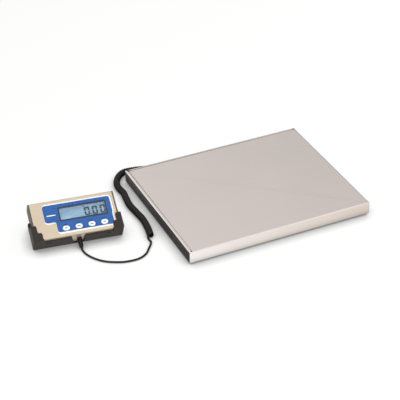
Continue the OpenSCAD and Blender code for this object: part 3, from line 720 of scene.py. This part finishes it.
print_white = plastic("print_white", (0.87, 0.88, 0.9), 0.35, fade=0.97)
print_dark = plastic("print_dark", (0.012, 0.025, 0.1), 0.4)
film_base = face_w - 0.02
film_blocks = [((-57.0, 35.0), (72.0, 71.5)), ((-37.0, 12.3), (70.5, 52.3))]


def film_plates(name, left, right, down, up, low_w, high_w):
    """The film's two blocks as plates, each side moved outwards by so much."""
    made = []
    for i, (low, high) in enumerate(film_blocks):
        made.append(plate("%s_%d" % (name, i + 1), (low[0] - left, low[1] - down, low_w - 0.005 * i),
            (high[0] + right, high[1] + up, high_w + 0.005 * i), 5 + (left + right) / 2))
    return made


edge_line, edge_more = film_plates("edge_line", 0.3, 2.2, 3.4, 2.4, film_base, film_base + 0.2)
add_modifier(edge_line, "BOOLEAN", operation="UNION", object=edge_more)
bpy.data.objects.remove(edge_more)
for cutter in film_plates("edge_cut", -1.0, -1.0, -1.0, -1.0, film_base - 1, film_base + 1):
    add_modifier(edge_line, "BOOLEAN", operation="DIFFERENCE", object=cutter)
    bpy.data.objects.remove(cutter)
lean(edge_line, "indicator", print_white)

print_low, print_high = face_w + 0.38, face_w + 0.44
stripe = plate("film_stripe", (-51.5, 48.6, print_low), (-34.5, 50.4, print_high), 0.7)
lean(stripe, "indicator", print_white)

key_u = [-20.7 + 24.4 * i for i in range(4)]
for i, u in enumerate(key_u):
    label = plate("label_%d" % (i + 1), (u - 3.6, 26.2, print_low), (u + 3.6, 28.0, print_high), 0.6)
    lean(label, "indicator", print_dark)

sign_places = [(-35.0, 63.0), (-33.0, 36.5), (-22.0, 68.6), (13.0, 68.6)]
for i, (u, v) in enumerate(sign_places):
    sign = plate("sign_%d" % (i + 1), (u - 1.9, v - 0.8, print_low),
        (u + 1.9, v + 0.8, print_high), 0.6)
    lean(sign, "indicator", print_dark)

# ---------------------------------------------------------------------------
# Display: a clear window with a dark blue printed frame over a pale blue
# liquid crystal glass that shows zero.
# ---------------------------------------------------------------------------
lens_low = (-29.0, 34.0)
lens_high = (63.0, 65.0)
view_low = (-26.3, 37.6)
view_high = (61.0, 62.0)
glass_w = face_w - 1.6
frame_navy = plastic("frame_navy", (0.01, 0.022, 0.065), 0.3)

lcd_face, nodes, links, shader = new_material("lcd_face", (0.33, 0.56, 0.78), 0.25)
where = nodes.new("ShaderNodeTexCoord").outputs["Object"]
haze = remap(nodes, links, noise(nodes, links, where, 14.0, 2.0), 0.3, 0.7, 0, 1)
links.new(mix_color(nodes, links, haze, (0.34, 0.6, 0.84), (0.37, 0.64, 0.88)),
    shader.inputs["Base Color"])
display = plate("display_face", (*view_low, glass_w), (*view_high, glass_w + 0.1))
lean(display, "indicator", lcd_face)

window_ring = plate("window_frame", (*lens_low, glass_w - 0.2), (*lens_high, face_w + 0.1), 1.0)
ring_cut = plate("ring_cut", (*view_low, glass_w - 2), (*view_high, face_w + 2), 0.8)
add_modifier(window_ring, "BOOLEAN", operation="DIFFERENCE", object=ring_cut)
bpy.data.objects.remove(ring_cut)
add_modifier(window_ring, "BEVEL", width=0.15, segments=2, limit_method="ANGLE")
smooth(window_ring, 35)
lean(window_ring, "indicator", frame_navy)

digit_dark = plastic("digit_dark", (0.004, 0.018, 0.035), 0.5, shine=0.1)
coat_node(lcd_face, "lcd")


def segment(name, low, high):
    """One bar of a digit, pointed at both ends."""
    piece = box_piece(name, (*low, glass_w + 0.1), (*high, glass_w + 0.16))
    choose_parts(piece, edges=lambda a, b: abs(a.x - b.x) < 1e-4 and abs(a.y - b.y) < 1e-4)
    bpy.ops.mesh.bevel(offset=min(high[0] - low[0], high[1] - low[1]) * 0.42, segments=1)
    back_to_object()
    return piece


def digit(name, left, bottom, wide, tall, stroke):
    """The six outer bars of a zero, as one mesh."""
    half = tall / 2
    slack = 0.2
    bars = [
        ((left + slack, bottom), (left + wide - slack, bottom + stroke)),
        ((left + slack, bottom + tall - stroke), (left + wide - slack, bottom + tall))]
    for x in (left, left + wide - stroke):
        bars.append(((x, bottom + slack), (x + stroke, bottom + half - slack)))
        bars.append(((x, bottom + half + slack), (x + stroke, bottom + tall - slack)))
    made = [segment(name, low, high) for low, high in bars]
    deselect()
    for bar in made:
        bar.select_set(True)
    bpy.context.view_layer.objects.active = made[0]
    bpy.ops.object.join()
    return made[0]


for i, left in enumerate((20.0, 35.0, 50.0)):
    zero = digit("digit_%d" % (i + 1), left, 38.8, 10.6, 17.8, 3.5)
    zero.name = "digit_%d" % (i + 1)
    lean(zero, "indicator", digit_dark)
point = plate("digit_point", (31.6, 38.8, glass_w + 0.1), (34.0, 41.4, glass_w + 0.16), 0.6)
lean(point, "indicator", digit_dark)
mark = plate("stable_mark", (18.2, 57.9, glass_w + 0.1), (21.2, 60.1, glass_w + 0.16), 0.9)
lean(mark, "indicator", digit_dark)

window_clear, nodes, links, shader = new_material("window_clear", (0.75, 0.85, 0.95), 0.08)
shader.inputs["Alpha"].default_value = 0.05
where = nodes.new("ShaderNodeTexCoord").outputs["Object"]
smear = noise(nodes, links, where, 30.0, 3.0)
links.new(remap(nodes, links, smear, 0.3, 0.7, 0.05, 0.14), shader.inputs["Roughness"])
clear_low = (view_low[0] - 0.5, view_low[1] - 0.5, glass_w + 0.3)
window = plate("window_pane", clear_low, (view_high[0] + 0.5, view_high[1] + 0.5, glass_w + 1.3))
lean(window, "indicator", window_clear)
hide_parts("lens")

# ---------------------------------------------------------------------------
# Keys: four white oval caps that stand a little proud of the film, each with
# a grey mark.
# ---------------------------------------------------------------------------
key_white = plastic("key_white", (0.86, 0.87, 0.88), 0.33, fade=0.97, coat=0.2)
mark_grey = plastic("mark_grey", (0.2, 0.25, 0.33), 0.4)
key_top = face_w + 0.4 + 0.6
for i, u in enumerate(key_u):
    name = "key_%d" % (i + 1)
    rounded_copy(name, name + "_cap", name, key_white, 0.25 * mm, 2, 50)
    sign = plate(name + "_mark", (u - 2.7, 18.0, key_top - 0.02), (u + 2.7, 20.1, key_top + 0.03), 0.9)
    lean(sign, name, mark_grey)

# ---------------------------------------------------------------------------
# Cord boot: a black ribbed sleeve moulded on the cord, held in the housing's
# lower end.
# ---------------------------------------------------------------------------
boot_black = plastic("boot_black", (0.007, 0.0065, 0.006), 0.45, shine=0.3)


def turned(name, profile, sides=32):
    """A closed turned shape along Z from its heights and radii."""
    deselect()
    height, radius = profile[0]
    bpy.ops.mesh.primitive_circle_add(vertices=sides, radius=radius, fill_type="NGON",
        location=(0, 0, height))
    piece = bpy.context.object
    piece.name = piece.data.name = name
    bpy.ops.object.transform_apply(location=True, rotation=True, scale=True)
    bpy.ops.object.mode_set(mode="EDIT")
    bpy.ops.mesh.select_all(action="SELECT")
    for next_height, next_radius in profile[1:]:
        bpy.ops.mesh.extrude_region_move(TRANSFORM_OT_translate={"value": (0, 0, next_height - height)})
        bpy.ops.transform.resize(value=(next_radius / radius, next_radius / radius, 1))
        height, radius = next_height, next_radius
    bpy.ops.mesh.select_all(action="SELECT")
    bpy.ops.mesh.remove_doubles(threshold=1e-5)
    bpy.ops.mesh.normals_make_consistent(inside=False)
    back_to_object()
    smooth(piece, 35)
    return piece


boot_profile = [(-7.3, 6.0), (-7.1, 6.2), (-5.4, 6.2), (-5.3, 4.9), (0.3, 4.9)]
rib_count = 6
for k in range(rib_count):
    rib_start = 1.0 + 2.5 * k
    outer = 5.0 - rib_start / 17
    boot_profile += [(rib_start, outer - 0.7), (rib_start + 0.2, outer), (rib_start + 1.4, outer - 0.1),
        (rib_start + 1.6, outer - 0.75)]
boot_profile += [(16.2, 3.5), (16.9, 3.1), (17.0, 2.2)]
sleeve = turned("boot_sleeve", boot_profile)
sleeve.matrix_world = Matrix.Translation((boot_u, 0, boot_w)) @ Matrix.Rotation(math.pi / 2, 4, "X")
lean(sleeve, "indicator", boot_black)
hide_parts("cord_boot")
